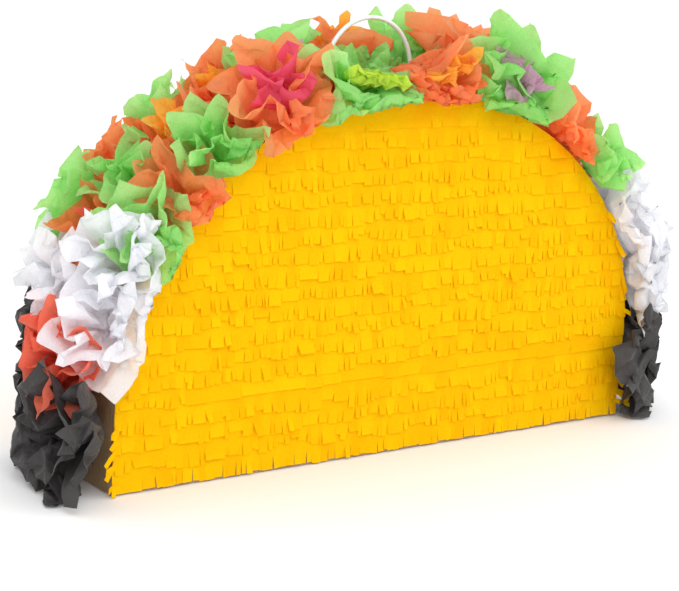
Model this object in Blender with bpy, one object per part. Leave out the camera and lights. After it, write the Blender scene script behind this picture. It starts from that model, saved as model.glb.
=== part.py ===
"""Taco pinata: a hollow half-moon card box with a tissue-fringed front and back, tissue tufts all round its rim, a filling
flap in the back and a hanging loop on top. Metres, +Z up, front face towards -Y, standing on z = 0."""

import math

import bmesh
import bpy
from mathutils import Vector

# Box: a face with upright sides and an elliptical arch over them, and a band of card between the two faces
FACE_WIDTH = 0.400
SIDE_HEIGHT = 0.0636
ARCH_HEIGHT = 0.163
DEPTH = 0.076
CARD = 0.003
BAND_CARD = 0.002
GAP = 0.0003
BASE_INSET = 0.0005

# Filling flap, cut in the back face and creased along its top
FLAP_WIDTH = 0.120
FLAP_BOTTOM = 0.062
FLAP_TOP = 0.128
FLAP_GAP = 0.0005
FLAP_FRINGE_DROP = 0.0045
CREASE_CLEARANCE = 0.0025

# Fringe: strips of cut tissue, each leaning out over the top of the one below
ROWS = 13
ROW_START = 0.001
ROW_PITCH = 0.0165
ROW_OVERLAP = 0.005
ROW_LEAN = 0.0013
TISSUE = 0.0007
FRINGE_TRIM = 0.0008
APEX_TRIM = 0.0012
SKIN_GAP = 0.0005

# Seam tape and hanger patch, inside the box
TAPE_WIDTH = 0.012
TAPE = 0.0006
TAPE_CLEARANCE = 0.0001
ARCH_TAPE_START = 0.027
BASE_TAPE_INSET = 0.006
PATCH_LENGTH = 0.096
PATCH_WIDTH = 0.044
PATCH = 0.002

# Hanging loop: its ends pass through slots in the band and the patch, and are knotted below
LOOP_X = -0.0065
LOOP_HALF = 0.034
LOOP_TOP = 0.2690
LOOP_BENDS = 26
LOOP_SQUARENESS = 0.8
FOOT_RISE = 0.002
FOOT_DEPTH = 0.0048
CORD_R = 0.0014
SLOT_X = 0.0040
SLOT_Y = 0.0074
KNOT_R = 0.0036
KNOT_SHAPE = (1.05, 1.00, 0.95)
KNOT_GAP = 0.0004

# Tufts: two lanes of them round the rim. Each is gathered at its foot and flares into a crown of corners
STATIONS = 14
FIRST_STATION = 0.026
TUFT_HEIGHT = 0.042
LOW_TUFTS = {
    ("front", 1): 0.036,
    ("front", 2): 0.036,
    ("back", 1): 0.026,
    ("back", 2): 0.026,
    ("back", 3): 0.034,
}
TUFT_HALF = 0.0235
TUFT_SIDES = 16
TUFT_FOOT = 0.0004
TUFT_WAIST = 0.011
CROWN_DIP = 0.004
CROWN_VALLEY = 0.80
CROWN_HOLLOW = 0.003
LANE_FOOT = {"centre": 0.0195, "half": 0.0130}
LANE_TOP = {"centre": 0.0260, "half": 0.0245}
LOOP_SIDE_FOOT = {"centre": 0.0265, "half": 0.0100}
LOOP_SIDE_TOP = {"centre": 0.0345, "half": 0.0155}
FRONT_LANE = "black white white orange green orange green orange green orange green white white black"
BACK_LANE = "black coral white orange green orange orange green orange green orange white white black"

COLOURS = {
    "yellow": ((1.000, 0.600, 0.010), 0.85),
    "orange": ((1.000, 0.180, 0.040), 0.80),
    "green": ((0.220, 0.750, 0.150), 0.80),
    "white": ((0.780, 0.780, 0.830), 0.80),
    "coral": ((0.950, 0.150, 0.090), 0.80),
    "black": ((0.040, 0.038, 0.040), 0.75),
    "card": ((0.480, 0.330, 0.190), 0.90),
    "paper_tape": ((0.760, 0.700, 0.560), 0.70),
    "loop_white": ((0.900, 0.900, 0.890), 0.35),
}

HALF = FACE_WIDTH / 2
HALF_DEPTH = DEPTH / 2
BAND_HALF = HALF_DEPTH - CARD - GAP
APEX = SIDE_HEIGHT + ARCH_HEIGHT
INSIDE_BAND = BAND_CARD + GAP
FLAP_HALF = FLAP_WIDTH / 2


def material(name, colour):
    """The Principled material of one node."""
    shade, roughness = COLOURS[colour]
    made = bpy.data.materials.new(name)
    made.use_nodes = True
    shader = made.node_tree.nodes["Principled BSDF"]
    shader.inputs["Base Color"].default_value = (*shade, 1)
    shader.inputs["Roughness"].default_value = roughness
    shader.inputs["Metallic"].default_value = 0
    made.diffuse_color = (*shade, 1)
    return made


def new_object(name, bm, colour, smooth=False, origin=(0, 0, 0), parent=None):
    """The mesh as one object, its faces turned outwards and its origin moved there, or onto its parent."""
    at = parent.location.copy() if parent else Vector(origin)
    bmesh.ops.recalc_face_normals(bm, faces=bm.faces)
    bmesh.ops.translate(bm, vec=-at, verts=bm.verts)
    mesh = bpy.data.meshes.new(name)
    bm.to_mesh(mesh)
    bm.free()
    for face in mesh.polygons:
        face.use_smooth = smooth
    mesh.materials.append(material(name, colour))
    made = bpy.data.objects.new(name, mesh)
    made.parent = parent
    made.location = (0, 0, 0) if parent else at
    bpy.context.scene.collection.objects.link(made)
    return made


def hinge_empty(name, place):
    """An empty on a joint's axis, which carries what turns about it."""
    made = bpy.data.objects.new(name, None)
    made.location = place
    bpy.context.scene.collection.objects.link(made)
    return made


def rim_top(x):
    """Height of the rim's outer surface at x."""
    return SIDE_HEIGHT + ARCH_HEIGHT * math.sqrt(1 - (x / HALF) ** 2)


def half_width(z):
    """Half the width of the face at height z."""
    up = min(1.0, max(0.0, (z - SIDE_HEIGHT) / ARCH_HEIGHT))
    return HALF * math.sqrt(1 - up * up)


def outline(start_z, steps=36, low=0.0, high=math.pi):
    """(point, outward normal) pairs from the right foot over the arch to the left foot, or for part of the arch."""
    points = []
    if low == 0.0:
        points.append((Vector((HALF, start_z)), Vector((1, 0))))
    for i in range(steps + 1):
        angle = low + (high - low) * i / steps
        point = Vector((HALF * math.cos(angle), SIDE_HEIGHT + ARCH_HEIGHT * math.sin(angle)))
        normal = Vector((math.cos(angle) / HALF, math.sin(angle) / ARCH_HEIGHT)).normalized()
        points.append((point, normal))
    if high == math.pi:
        points.append((Vector((-HALF, start_z)), Vector((-1, 0))))
    return points


def bridge(bm, rings, caps=True):
    """Faces between one ring of vertices and the next, and over both ends."""
    for a, b in zip(rings, rings[1:]):
        for i in range(len(a)):
            j = (i + 1) % len(a)
            bm.faces.new((a[i], a[j], b[j], b[i]))
    bm.faces.new(rings[0])
    if caps:
        bm.faces.new(rings[-1])


def box(bm, low, high):
    """A box between two corners, added to the mesh."""
    made = bmesh.ops.create_cube(bm, size=1)["verts"]
    bmesh.ops.scale(bm, vec=Vector(high) - Vector(low), verts=made)
    bmesh.ops.translate(bm, vec=(Vector(high) + Vector(low)) / 2, verts=made)


def sweep(bm, path, profile):
    """The profile of (inward, y) points carried along the outline's points."""
    rings = []
    for point, normal in path:
        spots = [(point - normal * inward, y) for inward, y in profile]
        rings.append([bm.verts.new((spot.x, y, spot.y)) for spot, y in spots])
    bridge(bm, rings)


def cutter(name, low, high):
    """A hidden box that a Boolean takes away."""
    bm = bmesh.new()
    box(bm, low, high)
    bmesh.ops.recalc_face_normals(bm, faces=bm.faces)
    mesh = bpy.data.meshes.new(name)
    bm.to_mesh(mesh)
    bm.free()
    made = bpy.data.objects.new(name, mesh)
    bpy.context.scene.collection.objects.link(made)
    made.hide_render = True
    made.display_type = "WIRE"
    return made


def cut(target, tool):
    """Take the tool away from the target."""
    modifier = target.modifiers.new(tool.name, "BOOLEAN")
    modifier.operation = "DIFFERENCE"
    modifier.solver = "EXACT"
    modifier.object = tool


def face_panel(name, front_y):
    """A half-moon card panel, its front surface at front_y."""
    bm = bmesh.new()
    corners = [bm.verts.new((point.x, front_y, point.y)) for point, _ in outline(0.0)]
    panel = bm.faces.new(corners)
    grown = bmesh.ops.extrude_face_region(bm, geom=[panel])["geom"]
    moved = [item for item in grown if isinstance(item, bmesh.types.BMVert)]
    bmesh.ops.translate(bm, vec=(0, CARD, 0), verts=moved)
    return new_object(name, bm, "card")


def back_panel():
    """The back face, with the hole that the flap closes."""
    panel = face_panel("back_panel", HALF_DEPTH - CARD)
    side = FLAP_HALF + FLAP_GAP
    low = (-side, HALF_DEPTH - 2 * CARD, FLAP_BOTTOM - FLAP_GAP)
    high = (side, HALF_DEPTH + CARD, FLAP_TOP + FLAP_GAP)
    cut(panel, cutter("cut_fill_opening", low, high))


def base_panel():
    """The flat card base that the pinata stands on."""
    bm = bmesh.new()
    reach = HALF - BASE_INSET
    box(bm, (-reach, -BAND_HALF, 0), (reach, BAND_HALF, CARD))
    new_object("base_panel", bm, "card")


def rectangle(inward, thickness, half_y):
    """A flat profile for sweep."""
    return [
        (inward, -half_y),
        (inward, half_y),
        (inward + thickness, half_y),
        (inward + thickness, -half_y),
    ]


def folded_tape(side, start):
    """An L-shaped profile of tape, as (away from the corner's first wall, y) points. side is -1 at the front."""
    edge = side * (BAND_HALF + TAPE_CLEARANCE)
    return [
        (start, edge),
        (start, edge - side * TAPE_WIDTH),
        (start + TAPE, edge - side * TAPE_WIDTH),
        (start + TAPE, edge - side * TAPE),
        (start + TAPE_WIDTH, edge - side * TAPE),
        (start + TAPE_WIDTH, edge),
    ]


def seam_tapes():
    """Paper tape folded into the corners that the face panels make with the band and with the base."""
    reach = HALF - BASE_TAPE_INSET
    for word, side in (("front", -1), ("back", 1)):
        bm = bmesh.new()
        sweep(bm, outline(ARCH_TAPE_START), folded_tape(side, INSIDE_BAND))
        new_object(f"seam_tape_arch_{word}", bm, "paper_tape")
        bm = bmesh.new()
        profile = folded_tape(side, CARD + GAP)
        bridge(bm, [[bm.verts.new((x, y, z)) for z, y in profile] for x in (-reach, reach)])
        new_object(f"seam_tape_base_{word}", bm, "paper_tape")


def band_and_patch(hinge):
    """The card band bent round the arch, and the patch that spreads the loop's pull, both slotted for the loop."""
    bm = bmesh.new()
    sweep(bm, outline(CARD + GAP), rectangle(0, BAND_CARD, BAND_HALF))
    band = new_object("rim_band", bm, "card")

    bm = bmesh.new()
    reach = PATCH_LENGTH / FACE_WIDTH
    arc = outline(0, 16, math.pi / 2 - reach, math.pi / 2 + reach)
    sweep(bm, arc, rectangle(INSIDE_BAND, PATCH, PATCH_WIDTH / 2))
    patch = new_object("hanger_patch", bm, "card")

    tall = 10 * BAND_CARD
    for word, x in (("left", LOOP_X - LOOP_HALF), ("right", LOOP_X + LOOP_HALF)):
        low = (x - SLOT_X / 2, -SLOT_Y / 2, hinge.location.z - tall)
        high = (x + SLOT_X / 2, SLOT_Y / 2, hinge.location.z + tall)
        slot = cutter(f"cut_loop_slot_{word}", low, high)
        cut(band, slot)
        cut(patch, slot)


def hanging_loop(hinge):
    """The white loop and the knots at its ends, all on the hinge where the loop bends at the rim."""
    far_foot = rim_top(LOOP_HALF + abs(LOOP_X))
    end_z = far_foot - FOOT_DEPTH
    foot_z = far_foot + FOOT_RISE
    rise = LOOP_TOP - CORD_R - foot_z
    leg = [end_z + (foot_z - end_z) * i / 2 for i in range(3)]
    route = [(-LOOP_HALF, z) for z in leg]
    for i in range(1, LOOP_BENDS):
        turn = math.pi * (1 - i / LOOP_BENDS)
        route.append((LOOP_HALF * math.cos(turn), foot_z + rise * math.sin(turn) ** LOOP_SQUARENESS))
    route += [(LOOP_HALF, z) for z in reversed(leg)]

    curve = bpy.data.curves.new("hanging_loop", "CURVE")
    curve.dimensions = "3D"
    curve.bevel_depth = CORD_R
    curve.bevel_resolution = 2
    curve.use_fill_caps = True
    curve.materials.append(material("hanging_loop", "loop_white"))
    spline = curve.splines.new("POLY")
    spline.points.add(len(route) - 1)
    for point, (x, z) in zip(spline.points, route):
        point.co = (x, 0, z - hinge.location.z, 1)
    loop = bpy.data.objects.new("hanging_loop", curve)
    loop.parent = hinge
    bpy.context.scene.collection.objects.link(loop)

    knot_z = end_z - KNOT_GAP - KNOT_R * KNOT_SHAPE[2]
    for word, x in (("left", LOOP_X - LOOP_HALF), ("right", LOOP_X + LOOP_HALF)):
        bm = bmesh.new()
        bmesh.ops.create_icosphere(bm, subdivisions=2, radius=KNOT_R)
        bmesh.ops.scale(bm, vec=KNOT_SHAPE, verts=bm.verts)
        bmesh.ops.translate(bm, vec=(x, 0, knot_z), verts=bm.verts)
        new_object(f"loop_knot_{word}", bm, "loop_white", smooth=True, parent=hinge)


def strip(bm, low, high, inner_y, outer_y, left=None, right=None, levels=6):
    """A skin over a face between two heights. inner_y and outer_y are (bottom, top) pairs.
    Its ends follow the face's outline, or stop at left or right."""
    rings = []
    for i in range(levels + 1):
        along = i / levels
        z = low + (high - low) * along
        inner = inner_y[0] + (inner_y[1] - inner_y[0]) * along
        outer = outer_y[0] + (outer_y[1] - outer_y[0]) * along
        reach = half_width(z) - FRINGE_TRIM
        x_left = -reach if left is None else left
        x_right = reach if right is None else right
        corners = ((x_left, inner), (x_right, inner), (x_right, outer), (x_left, outer))
        rings.append([bm.verts.new((x, y, z)) for x, y in corners])
    bridge(bm, rings)


def front_rows():
    """The front face's fringe, one object for each strip."""
    inner = (-HALF_DEPTH - GAP - ROW_LEAN, -HALF_DEPTH - GAP)
    outer = (inner[0] - TISSUE, inner[1] - TISSUE)
    for row in range(ROWS):
        low = ROW_START + ROW_PITCH * row
        high = APEX - APEX_TRIM if row == ROWS - 1 else low + ROW_PITCH + ROW_OVERLAP
        bm = bmesh.new()
        strip(bm, low, high, inner, outer)
        new_object(f"front_fringe_{row + 1:02d}", bm, "yellow")


def back_skins():
    """The back face's fringe, glued round the flap's cut lines."""
    start = HALF_DEPTH + GAP
    inner = (start, start)
    outer = (start + 2 * TISSUE, start + 2 * TISSUE)
    side = FLAP_HALF + FLAP_GAP
    crease = FLAP_TOP + CREASE_CLEARANCE
    spans = {
        "lower": (ROW_START, FLAP_BOTTOM - 2 * SKIN_GAP, None, None),
        "left": (FLAP_BOTTOM - SKIN_GAP, crease, None, -side),
        "right": (FLAP_BOTTOM - SKIN_GAP, crease, side, None),
        "upper": (crease + SKIN_GAP, APEX - APEX_TRIM, None, None),
    }
    for word, (low, high, left, right) in spans.items():
        bm = bmesh.new()
        strip(bm, low, high, inner, outer, left, right, levels=16)
        new_object(f"back_fringe_{word}", bm, "yellow")


def fill_flap(hinge):
    """The flap that closes the filling hole, and the fringe glued on it, both on the crease along its top."""
    bm = bmesh.new()
    box(bm, (-FLAP_HALF, HALF_DEPTH - CARD, FLAP_BOTTOM), (FLAP_HALF, HALF_DEPTH, FLAP_TOP))
    new_object("fill_flap", bm, "card", parent=hinge)
    bm = bmesh.new()
    start = HALF_DEPTH + GAP
    low = (-FLAP_HALF, start, FLAP_BOTTOM)
    box(bm, low, (FLAP_HALF, start + 2 * TISSUE, FLAP_TOP - FLAP_FRINGE_DROP))
    new_object("flap_fringe", bm, "yellow", parent=hinge)


def tuft(name, colour, place, side, foot, top, tall):
    """One tuft standing on the rim. side is -1 in the front lane; foot and top say where it lies across the depth."""
    point, normal = place
    tangent = Vector((-normal.y, normal.x))
    waist = {key: (foot[key] + top[key]) / 2 for key in foot}
    levels = (
        (TUFT_FOOT, 0.75, 0.75, 1.0, foot),
        (TUFT_WAIST, 0.92, 0.92, 1.0, waist),
        (tall, 1.00, 1.00, CROWN_VALLEY, top),
        (tall - CROWN_HOLLOW, 0.62, 0.62, 1.0, top),
    )
    bm = bmesh.new()
    rings = []
    for height, along_scale, across_scale, valley, lane in levels:
        ring = []
        for i in range(TUFT_SIDES):
            turn = 2 * math.pi * (i + 0.5) / TUFT_SIDES
            reach = valley if i % 2 else 1.0
            rise = height - CROWN_DIP if i % 2 and height == tall else height
            along = TUFT_HALF * along_scale * reach * math.cos(turn)
            across = side * lane["centre"] + lane["half"] * across_scale * reach * math.sin(turn)
            spot = point + tangent * along + normal * rise
            ring.append(bm.verts.new((spot.x, across, spot.y)))
        rings.append(ring)
    bridge(bm, rings)
    new_object(name, bm, colour, origin=(point.x, side * foot["centre"], point.y))


def rim_stations():
    """The tufts' places, evenly spaced along the rim from the left foot to the right foot."""
    fine = outline(0.0, steps=720)[::-1]
    lengths = [0.0]
    for (a, _), (b, _) in zip(fine, fine[1:]):
        lengths.append(lengths[-1] + (b - a).length)
    pitch = (lengths[-1] - 2 * FIRST_STATION) / (STATIONS - 1)
    places = []
    for k in range(STATIONS):
        want = FIRST_STATION + pitch * k
        i = max(j for j in range(len(lengths) - 1) if lengths[j] <= want)
        part = (want - lengths[i]) / (lengths[i + 1] - lengths[i])
        point = fine[i][0].lerp(fine[i + 1][0], part)
        normal = fine[i][1].lerp(fine[i + 1][1], part).normalized()
        places.append((point, normal))
    return places


def tufts():
    """Both lanes of tufts. The two beside the loop stand further apart, to leave it room to tilt."""
    beside_loop = (STATIONS // 2, STATIONS // 2 + 1)
    for side, word, colours in ((-1, "front", FRONT_LANE), (1, "back", BACK_LANE)):
        for k, (place, colour) in enumerate(zip(rim_stations(), colours.split()), 1):
            foot, top = (LOOP_SIDE_FOOT, LOOP_SIDE_TOP) if k in beside_loop else (LANE_FOOT, LANE_TOP)
            tall = LOW_TUFTS.get((word, k), TUFT_HEIGHT)
            tuft(f"tuft_{word}_{k:02d}_{colour}", colour, place, side, foot, top, tall)


def main():
    for old in list(bpy.data.objects):
        bpy.data.objects.remove(old, do_unlink=True)

    middle_of_card = (INSIDE_BAND + PATCH) / 2
    loop_hinge = hinge_empty("loop_hinge", (LOOP_X, 0, rim_top(LOOP_HALF) - middle_of_card))
    flap_hinge = hinge_empty("flap_hinge", (0, HALF_DEPTH, FLAP_TOP + FLAP_GAP / 2))

    face_panel("front_panel", -HALF_DEPTH)
    back_panel()
    base_panel()
    band_and_patch(loop_hinge)
    seam_tapes()
    hanging_loop(loop_hinge)
    fill_flap(flap_hinge)
    front_rows()
    back_skins()
    tufts()


main()
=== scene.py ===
"""Taco pinata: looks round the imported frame. Metres, +Z up, front face towards -Y, standing on z = 0."""

import math

import bpy
import numpy as np
from mathutils import Matrix, Vector
from mathutils.kdtree import KDTree


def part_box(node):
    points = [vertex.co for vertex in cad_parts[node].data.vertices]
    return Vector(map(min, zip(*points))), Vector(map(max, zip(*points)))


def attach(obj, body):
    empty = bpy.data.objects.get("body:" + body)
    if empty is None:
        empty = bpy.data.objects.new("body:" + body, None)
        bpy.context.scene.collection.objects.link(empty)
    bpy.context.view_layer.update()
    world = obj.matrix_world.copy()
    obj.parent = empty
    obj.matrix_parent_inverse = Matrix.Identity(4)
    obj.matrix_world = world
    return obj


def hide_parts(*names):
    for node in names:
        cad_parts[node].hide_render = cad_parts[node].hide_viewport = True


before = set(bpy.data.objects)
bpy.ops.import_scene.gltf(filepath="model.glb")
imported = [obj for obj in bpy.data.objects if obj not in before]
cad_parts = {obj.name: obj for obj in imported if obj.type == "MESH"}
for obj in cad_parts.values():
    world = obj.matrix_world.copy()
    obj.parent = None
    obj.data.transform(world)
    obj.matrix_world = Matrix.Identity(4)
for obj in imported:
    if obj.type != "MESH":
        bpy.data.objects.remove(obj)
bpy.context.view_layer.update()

SEED = 7
MM = 0.001

# Driving dimensions, as in the CAD model
FACE_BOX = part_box("front_panel")
HALF = FACE_BOX[1][0]
APEX = FACE_BOX[1][2]
FRONT_Y = FACE_BOX[0][1]
BACK_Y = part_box("back_panel")[1][1]
SIDE_HEIGHT = 0.0636
ARCH_HEIGHT = APEX - SIDE_HEIGHT
ROW_PITCH = 0.0165
ROWS = 13
ARCH_EDGE = 0.0004


def half_width(z):
    """Half the width of the face at height z."""
    up = np.clip((np.asarray(z) - SIDE_HEIGHT) / ARCH_HEIGHT, 0.0, 1.0)
    return HALF * np.sqrt(1 - up * up)


def rim_top(x):
    """Height of the rim's outer surface at x."""
    return SIDE_HEIGHT + ARCH_HEIGHT * math.sqrt(1 - (x / HALF) ** 2)


def arch_height(x):
    """Height of a face's edge at x, just inside the rim."""
    return rim_top(max(-HALF, min(HALF, x))) - ARCH_EDGE


# ---------------------------------------------------------------- camera and loop

CAMERA_AIM = (-0.0165, 0.0, 0.0935)
CAMERA_DISTANCE = 1.2552
CAMERA_AZIMUTH = -37.83
CAMERA_ELEVATION = 12.87
CAMERA_ROLL = 3.98
CAMERA_LENS = 106.0


def add_camera():
    """The camera at the photograph's viewing angle. Azimuth 0 looks along +Y."""
    azimuth = math.radians(CAMERA_AZIMUTH)
    elevation = math.radians(CAMERA_ELEVATION)
    roll = math.radians(CAMERA_ROLL)
    back = Vector((
        math.sin(azimuth) * math.cos(elevation),
        -math.cos(azimuth) * math.cos(elevation),
        math.sin(elevation),
    ))
    level_right = (-back).cross(Vector((0, 0, 1))).normalized()
    level_up = level_right.cross(-back)
    right = level_right * math.cos(roll) + level_up * math.sin(roll)
    up = level_up * math.cos(roll) - level_right * math.sin(roll)
    data = bpy.data.cameras.new("camera")
    data.lens = CAMERA_LENS
    data.sensor_width = 36
    data.clip_end = 50
    camera = bpy.data.objects.new("camera", data)
    place = Vector(CAMERA_AIM) + back * CAMERA_DISTANCE
    turn = Matrix((right, up, back)).transposed().to_4x4()
    camera.matrix_world = Matrix.Translation(place) @ turn
    bpy.context.scene.collection.objects.link(camera)
    bpy.context.scene.camera = camera


LOOP_X = -0.0065
LOOP_HALF = 0.034
LOOP_TOP = 0.2690
LOOP_BENDS = 36
LOOP_SQUARENESS = 0.8
FOOT_RISE = 0.002
FOOT_DEPTH = 0.0048
CORD_R = 0.0014


def loop_route():
    """The loop's centreline, as in the CAD model."""
    far_foot = rim_top(LOOP_HALF + abs(LOOP_X))
    end_z = far_foot - FOOT_DEPTH
    foot_z = far_foot + FOOT_RISE
    rise = LOOP_TOP - CORD_R - foot_z
    leg = [end_z + (foot_z - end_z) * i / 2 for i in range(3)]
    route = [(-LOOP_HALF, z) for z in leg]
    for i in range(1, LOOP_BENDS):
        turn = math.pi * (1 - i / LOOP_BENDS)
        route.append((LOOP_HALF * math.cos(turn), foot_z + rise * math.sin(turn) ** LOOP_SQUARENESS))
    route += [(LOOP_HALF, z) for z in reversed(leg)]
    return [Vector((LOOP_X + x, 0, z)) for x, z in route]


def hanging_loop(look):
    """The white loop."""
    route = loop_route()
    curve = bpy.data.curves.new("loop_cord", "CURVE")
    curve.dimensions = "3D"
    curve.bevel_depth = CORD_R
    curve.bevel_resolution = 6
    curve.use_fill_caps = True
    curve.materials.append(look)
    spline = curve.splines.new("POLY")
    spline.points.add(len(route) - 1)
    for point, place in zip(spline.points, route):
        point.co = (*place, 1)
    spline.use_smooth = True
    loop = bpy.data.objects.new("loop_cord", curve)
    bpy.context.scene.collection.objects.link(loop)
    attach(loop, "hanger")
    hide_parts("hanging_loop")


# ---------------------------------------------------------------- materials

def nodes_of(name):
    """A new material with an output node only, and its node tree."""
    made = bpy.data.materials.new(name)
    made.use_nodes = True
    tree = made.node_tree
    tree.nodes.clear()
    return made, tree


def add(tree, kind, inputs=None, **values):
    """A node with its inputs linked or set, by socket name or number, and its own settings."""
    node = tree.nodes.new(kind)
    for key, value in values.items():
        setattr(node, key, value)
    for key, value in (inputs or {}).items():
        if isinstance(value, bpy.types.NodeSocket):
            tree.links.new(value, node.inputs[key])
        else:
            node.inputs[key].default_value = value
    return node


def blend_colours(tree, factor, a, b):
    """A colour between a and b."""
    node = add(tree, "ShaderNodeMix", data_type="RGBA")
    tree.links.new(factor, node.inputs[0])
    for index, value in ((6, a), (7, b)):
        if isinstance(value, bpy.types.NodeSocket):
            tree.links.new(value, node.inputs[index])
        else:
            node.inputs[index].default_value = (*value, 1)
    return node.outputs[2]


def tissue(
    name, light, shaded_tone, through, roughness=0.75, wrinkle=0.55, wrinkle_size=95.0, shine=0.25, sheen=0.08,
):
    """Tissue paper: a lit and a shaded tone of one colour, painted light and shade mixed by a mottle and by
    the tone attribute, then flecked fibres, fine wrinkles, and light coming through.
    """
    made, tree = nodes_of(name)
    place = add(tree, "ShaderNodeTexCoord").outputs["Object"]
    tone = add(tree, "ShaderNodeAttribute", attribute_name="tone").outputs["Fac"]
    mottle = add(tree, "ShaderNodeTexNoise", {
        "Vector": place, "Scale": 55.0, "Detail": 5.0, "Roughness": 0.6,
    }).outputs["Fac"]
    fibre = add(tree, "ShaderNodeTexNoise", {
        "Vector": place, "Scale": 900.0, "Detail": 2.0, "Roughness": 0.7,
    }).outputs["Fac"]
    mixed = add(tree, "ShaderNodeMath", {0: mottle, 1: tone}, operation="ADD").outputs[0]
    spread = add(tree, "ShaderNodeMapRange", {
        "Value": mixed, "From Min": 0.45, "From Max": 1.55,
    }).outputs[0]
    # Painted light and shade: the colour runs from the shaded tone to the lit one, following the mottle and
    # the tone attribute.
    dye_with_painted_shade = blend_colours(tree, spread, shaded_tone, light)
    paler = add(tree, "ShaderNodeMapRange", {
        "Value": fibre, "From Min": 0.3, "From Max": 0.75, "To Min": 0.94, "To Max": 1.04,
    }).outputs[0]
    colour = add(tree, "ShaderNodeVectorMath", {0: dye_with_painted_shade, 1: paler}, operation="MULTIPLY").outputs[0]
    ridges = []
    for scale in (wrinkle_size, wrinkle_size * 2.6):
        warp = add(tree, "ShaderNodeTexNoise", {"Vector": place, "Scale": scale * 0.7}).outputs["Color"]
        shifted = add(tree, "ShaderNodeVectorMath", {
            0: warp, "Scale": 0.9 / scale,
        }, operation="SCALE").outputs[0]
        bent = add(tree, "ShaderNodeVectorMath", {0: place, 1: shifted}, operation="ADD").outputs[0]
        ridges.append(add(tree, "ShaderNodeTexVoronoi", {
            "Vector": bent, "Scale": scale,
        }, feature="DISTANCE_TO_EDGE").outputs["Distance"])
    fine = add(tree, "ShaderNodeMath", {0: ridges[1], 1: 0.45}, operation="MULTIPLY").outputs[0]
    surface = add(tree, "ShaderNodeMath", {0: ridges[0], 1: fine}, operation="ADD").outputs[0]
    bump = add(tree, "ShaderNodeBump", {
        "Height": surface, "Strength": wrinkle, "Distance": 0.0022,
    }).outputs["Normal"]
    paper = add(tree, "ShaderNodeBsdfPrincipled", {
        "Base Color": colour, "Normal": bump, "Roughness": roughness,
        "Specular IOR Level": shine, "Sheen Weight": sheen,
    }).outputs[0]
    lamp = add(tree, "ShaderNodeBsdfTranslucent", {"Color": colour, "Normal": bump}).outputs[0]
    mix = add(tree, "ShaderNodeMixShader", {0: through, 1: paper, 2: lamp}).outputs[0]
    add(tree, "ShaderNodeOutputMaterial", {"Surface": mix})
    return made


def card_look():
    """Brown card: fibres along it, flecks, and a slight corrugation."""
    made, tree = nodes_of("card")
    place = add(tree, "ShaderNodeTexCoord").outputs["Object"]
    long = add(tree, "ShaderNodeMapping", {"Vector": place, "Scale": (900.0, 900.0, 140.0)}).outputs[0]
    fibre = add(tree, "ShaderNodeTexNoise", {"Vector": long, "Scale": 1.0, "Detail": 4.0}).outputs["Fac"]
    fleck = add(tree, "ShaderNodeTexNoise", {
        "Vector": place, "Scale": 60.0, "Detail": 8.0, "Roughness": 0.7,
    }).outputs["Fac"]
    both = add(tree, "ShaderNodeMath", {0: fibre, 1: fleck}, operation="ADD").outputs[0]
    spread = add(tree, "ShaderNodeMapRange", {"Value": both, "From Min": 0.7, "From Max": 1.3}).outputs[0]
    colour = blend_colours(tree, spread, (0.30, 0.185, 0.092), (0.50, 0.345, 0.20))
    bump = add(tree, "ShaderNodeBump", {"Height": both, "Strength": 0.3, "Distance": 0.0004}).outputs[0]
    shader = add(tree, "ShaderNodeBsdfPrincipled", {
        "Base Color": colour, "Normal": bump, "Roughness": 0.9, "Specular IOR Level": 0.2,
    }).outputs[0]
    add(tree, "ShaderNodeOutputMaterial", {"Surface": shader})
    return made


def tape_look():
    """Pale paper tape with a fine crepe."""
    made, tree = nodes_of("paper_tape")
    place = add(tree, "ShaderNodeTexCoord").outputs["Object"]
    crepe = add(tree, "ShaderNodeTexNoise", {
        "Vector": place, "Scale": 700.0, "Detail": 3.0, "Distortion": 1.5,
    }).outputs["Fac"]
    colour = blend_colours(tree, crepe, (0.66, 0.58, 0.42), (0.80, 0.73, 0.58))
    bump = add(tree, "ShaderNodeBump", {"Height": crepe, "Strength": 0.35, "Distance": 0.0003}).outputs[0]
    shader = add(tree, "ShaderNodeBsdfPrincipled", {
        "Base Color": colour, "Normal": bump, "Roughness": 0.7,
    }).outputs[0]
    add(tree, "ShaderNodeOutputMaterial", {"Surface": shader})
    return made


def loop_look():
    """Milky plastic cord with faint draw lines."""
    made, tree = nodes_of("loop_white")
    place = add(tree, "ShaderNodeTexCoord").outputs["Object"]
    cloud = add(tree, "ShaderNodeTexNoise", {"Vector": place, "Scale": 180.0, "Detail": 4.0}).outputs["Fac"]
    colour = blend_colours(tree, cloud, (0.70, 0.71, 0.72), (0.90, 0.90, 0.89))
    bump = add(tree, "ShaderNodeBump", {"Height": cloud, "Strength": 0.12, "Distance": 0.0003}).outputs[0]
    shader = add(tree, "ShaderNodeBsdfPrincipled", {
        "Base Color": colour, "Normal": bump, "Roughness": 0.28, "Subsurface Weight": 0.15,
        "Subsurface Radius": (0.002, 0.002, 0.002), "Coat Weight": 0.2, "Coat Roughness": 0.2,
    }).outputs[0]
    add(tree, "ShaderNodeOutputMaterial", {"Surface": shader})
    return made


def floor_look():
    """A plain pale floor."""
    made, tree = nodes_of("floor")
    shader = add(tree, "ShaderNodeBsdfPrincipled", {
        "Base Color": (0.93, 0.93, 0.93, 1), "Roughness": 0.9, "Specular IOR Level": 0.1,
    }).outputs[0]
    add(tree, "ShaderNodeOutputMaterial", {"Surface": shader})
    return made


# ---------------------------------------------------------------- fringe

SKIN = 0.0003
ROW_LEAN = 0.0007
FLOOR_ROOM = 0.0004
FACE_OVERHANG = 0.0002
WELD = 0.00002

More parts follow.
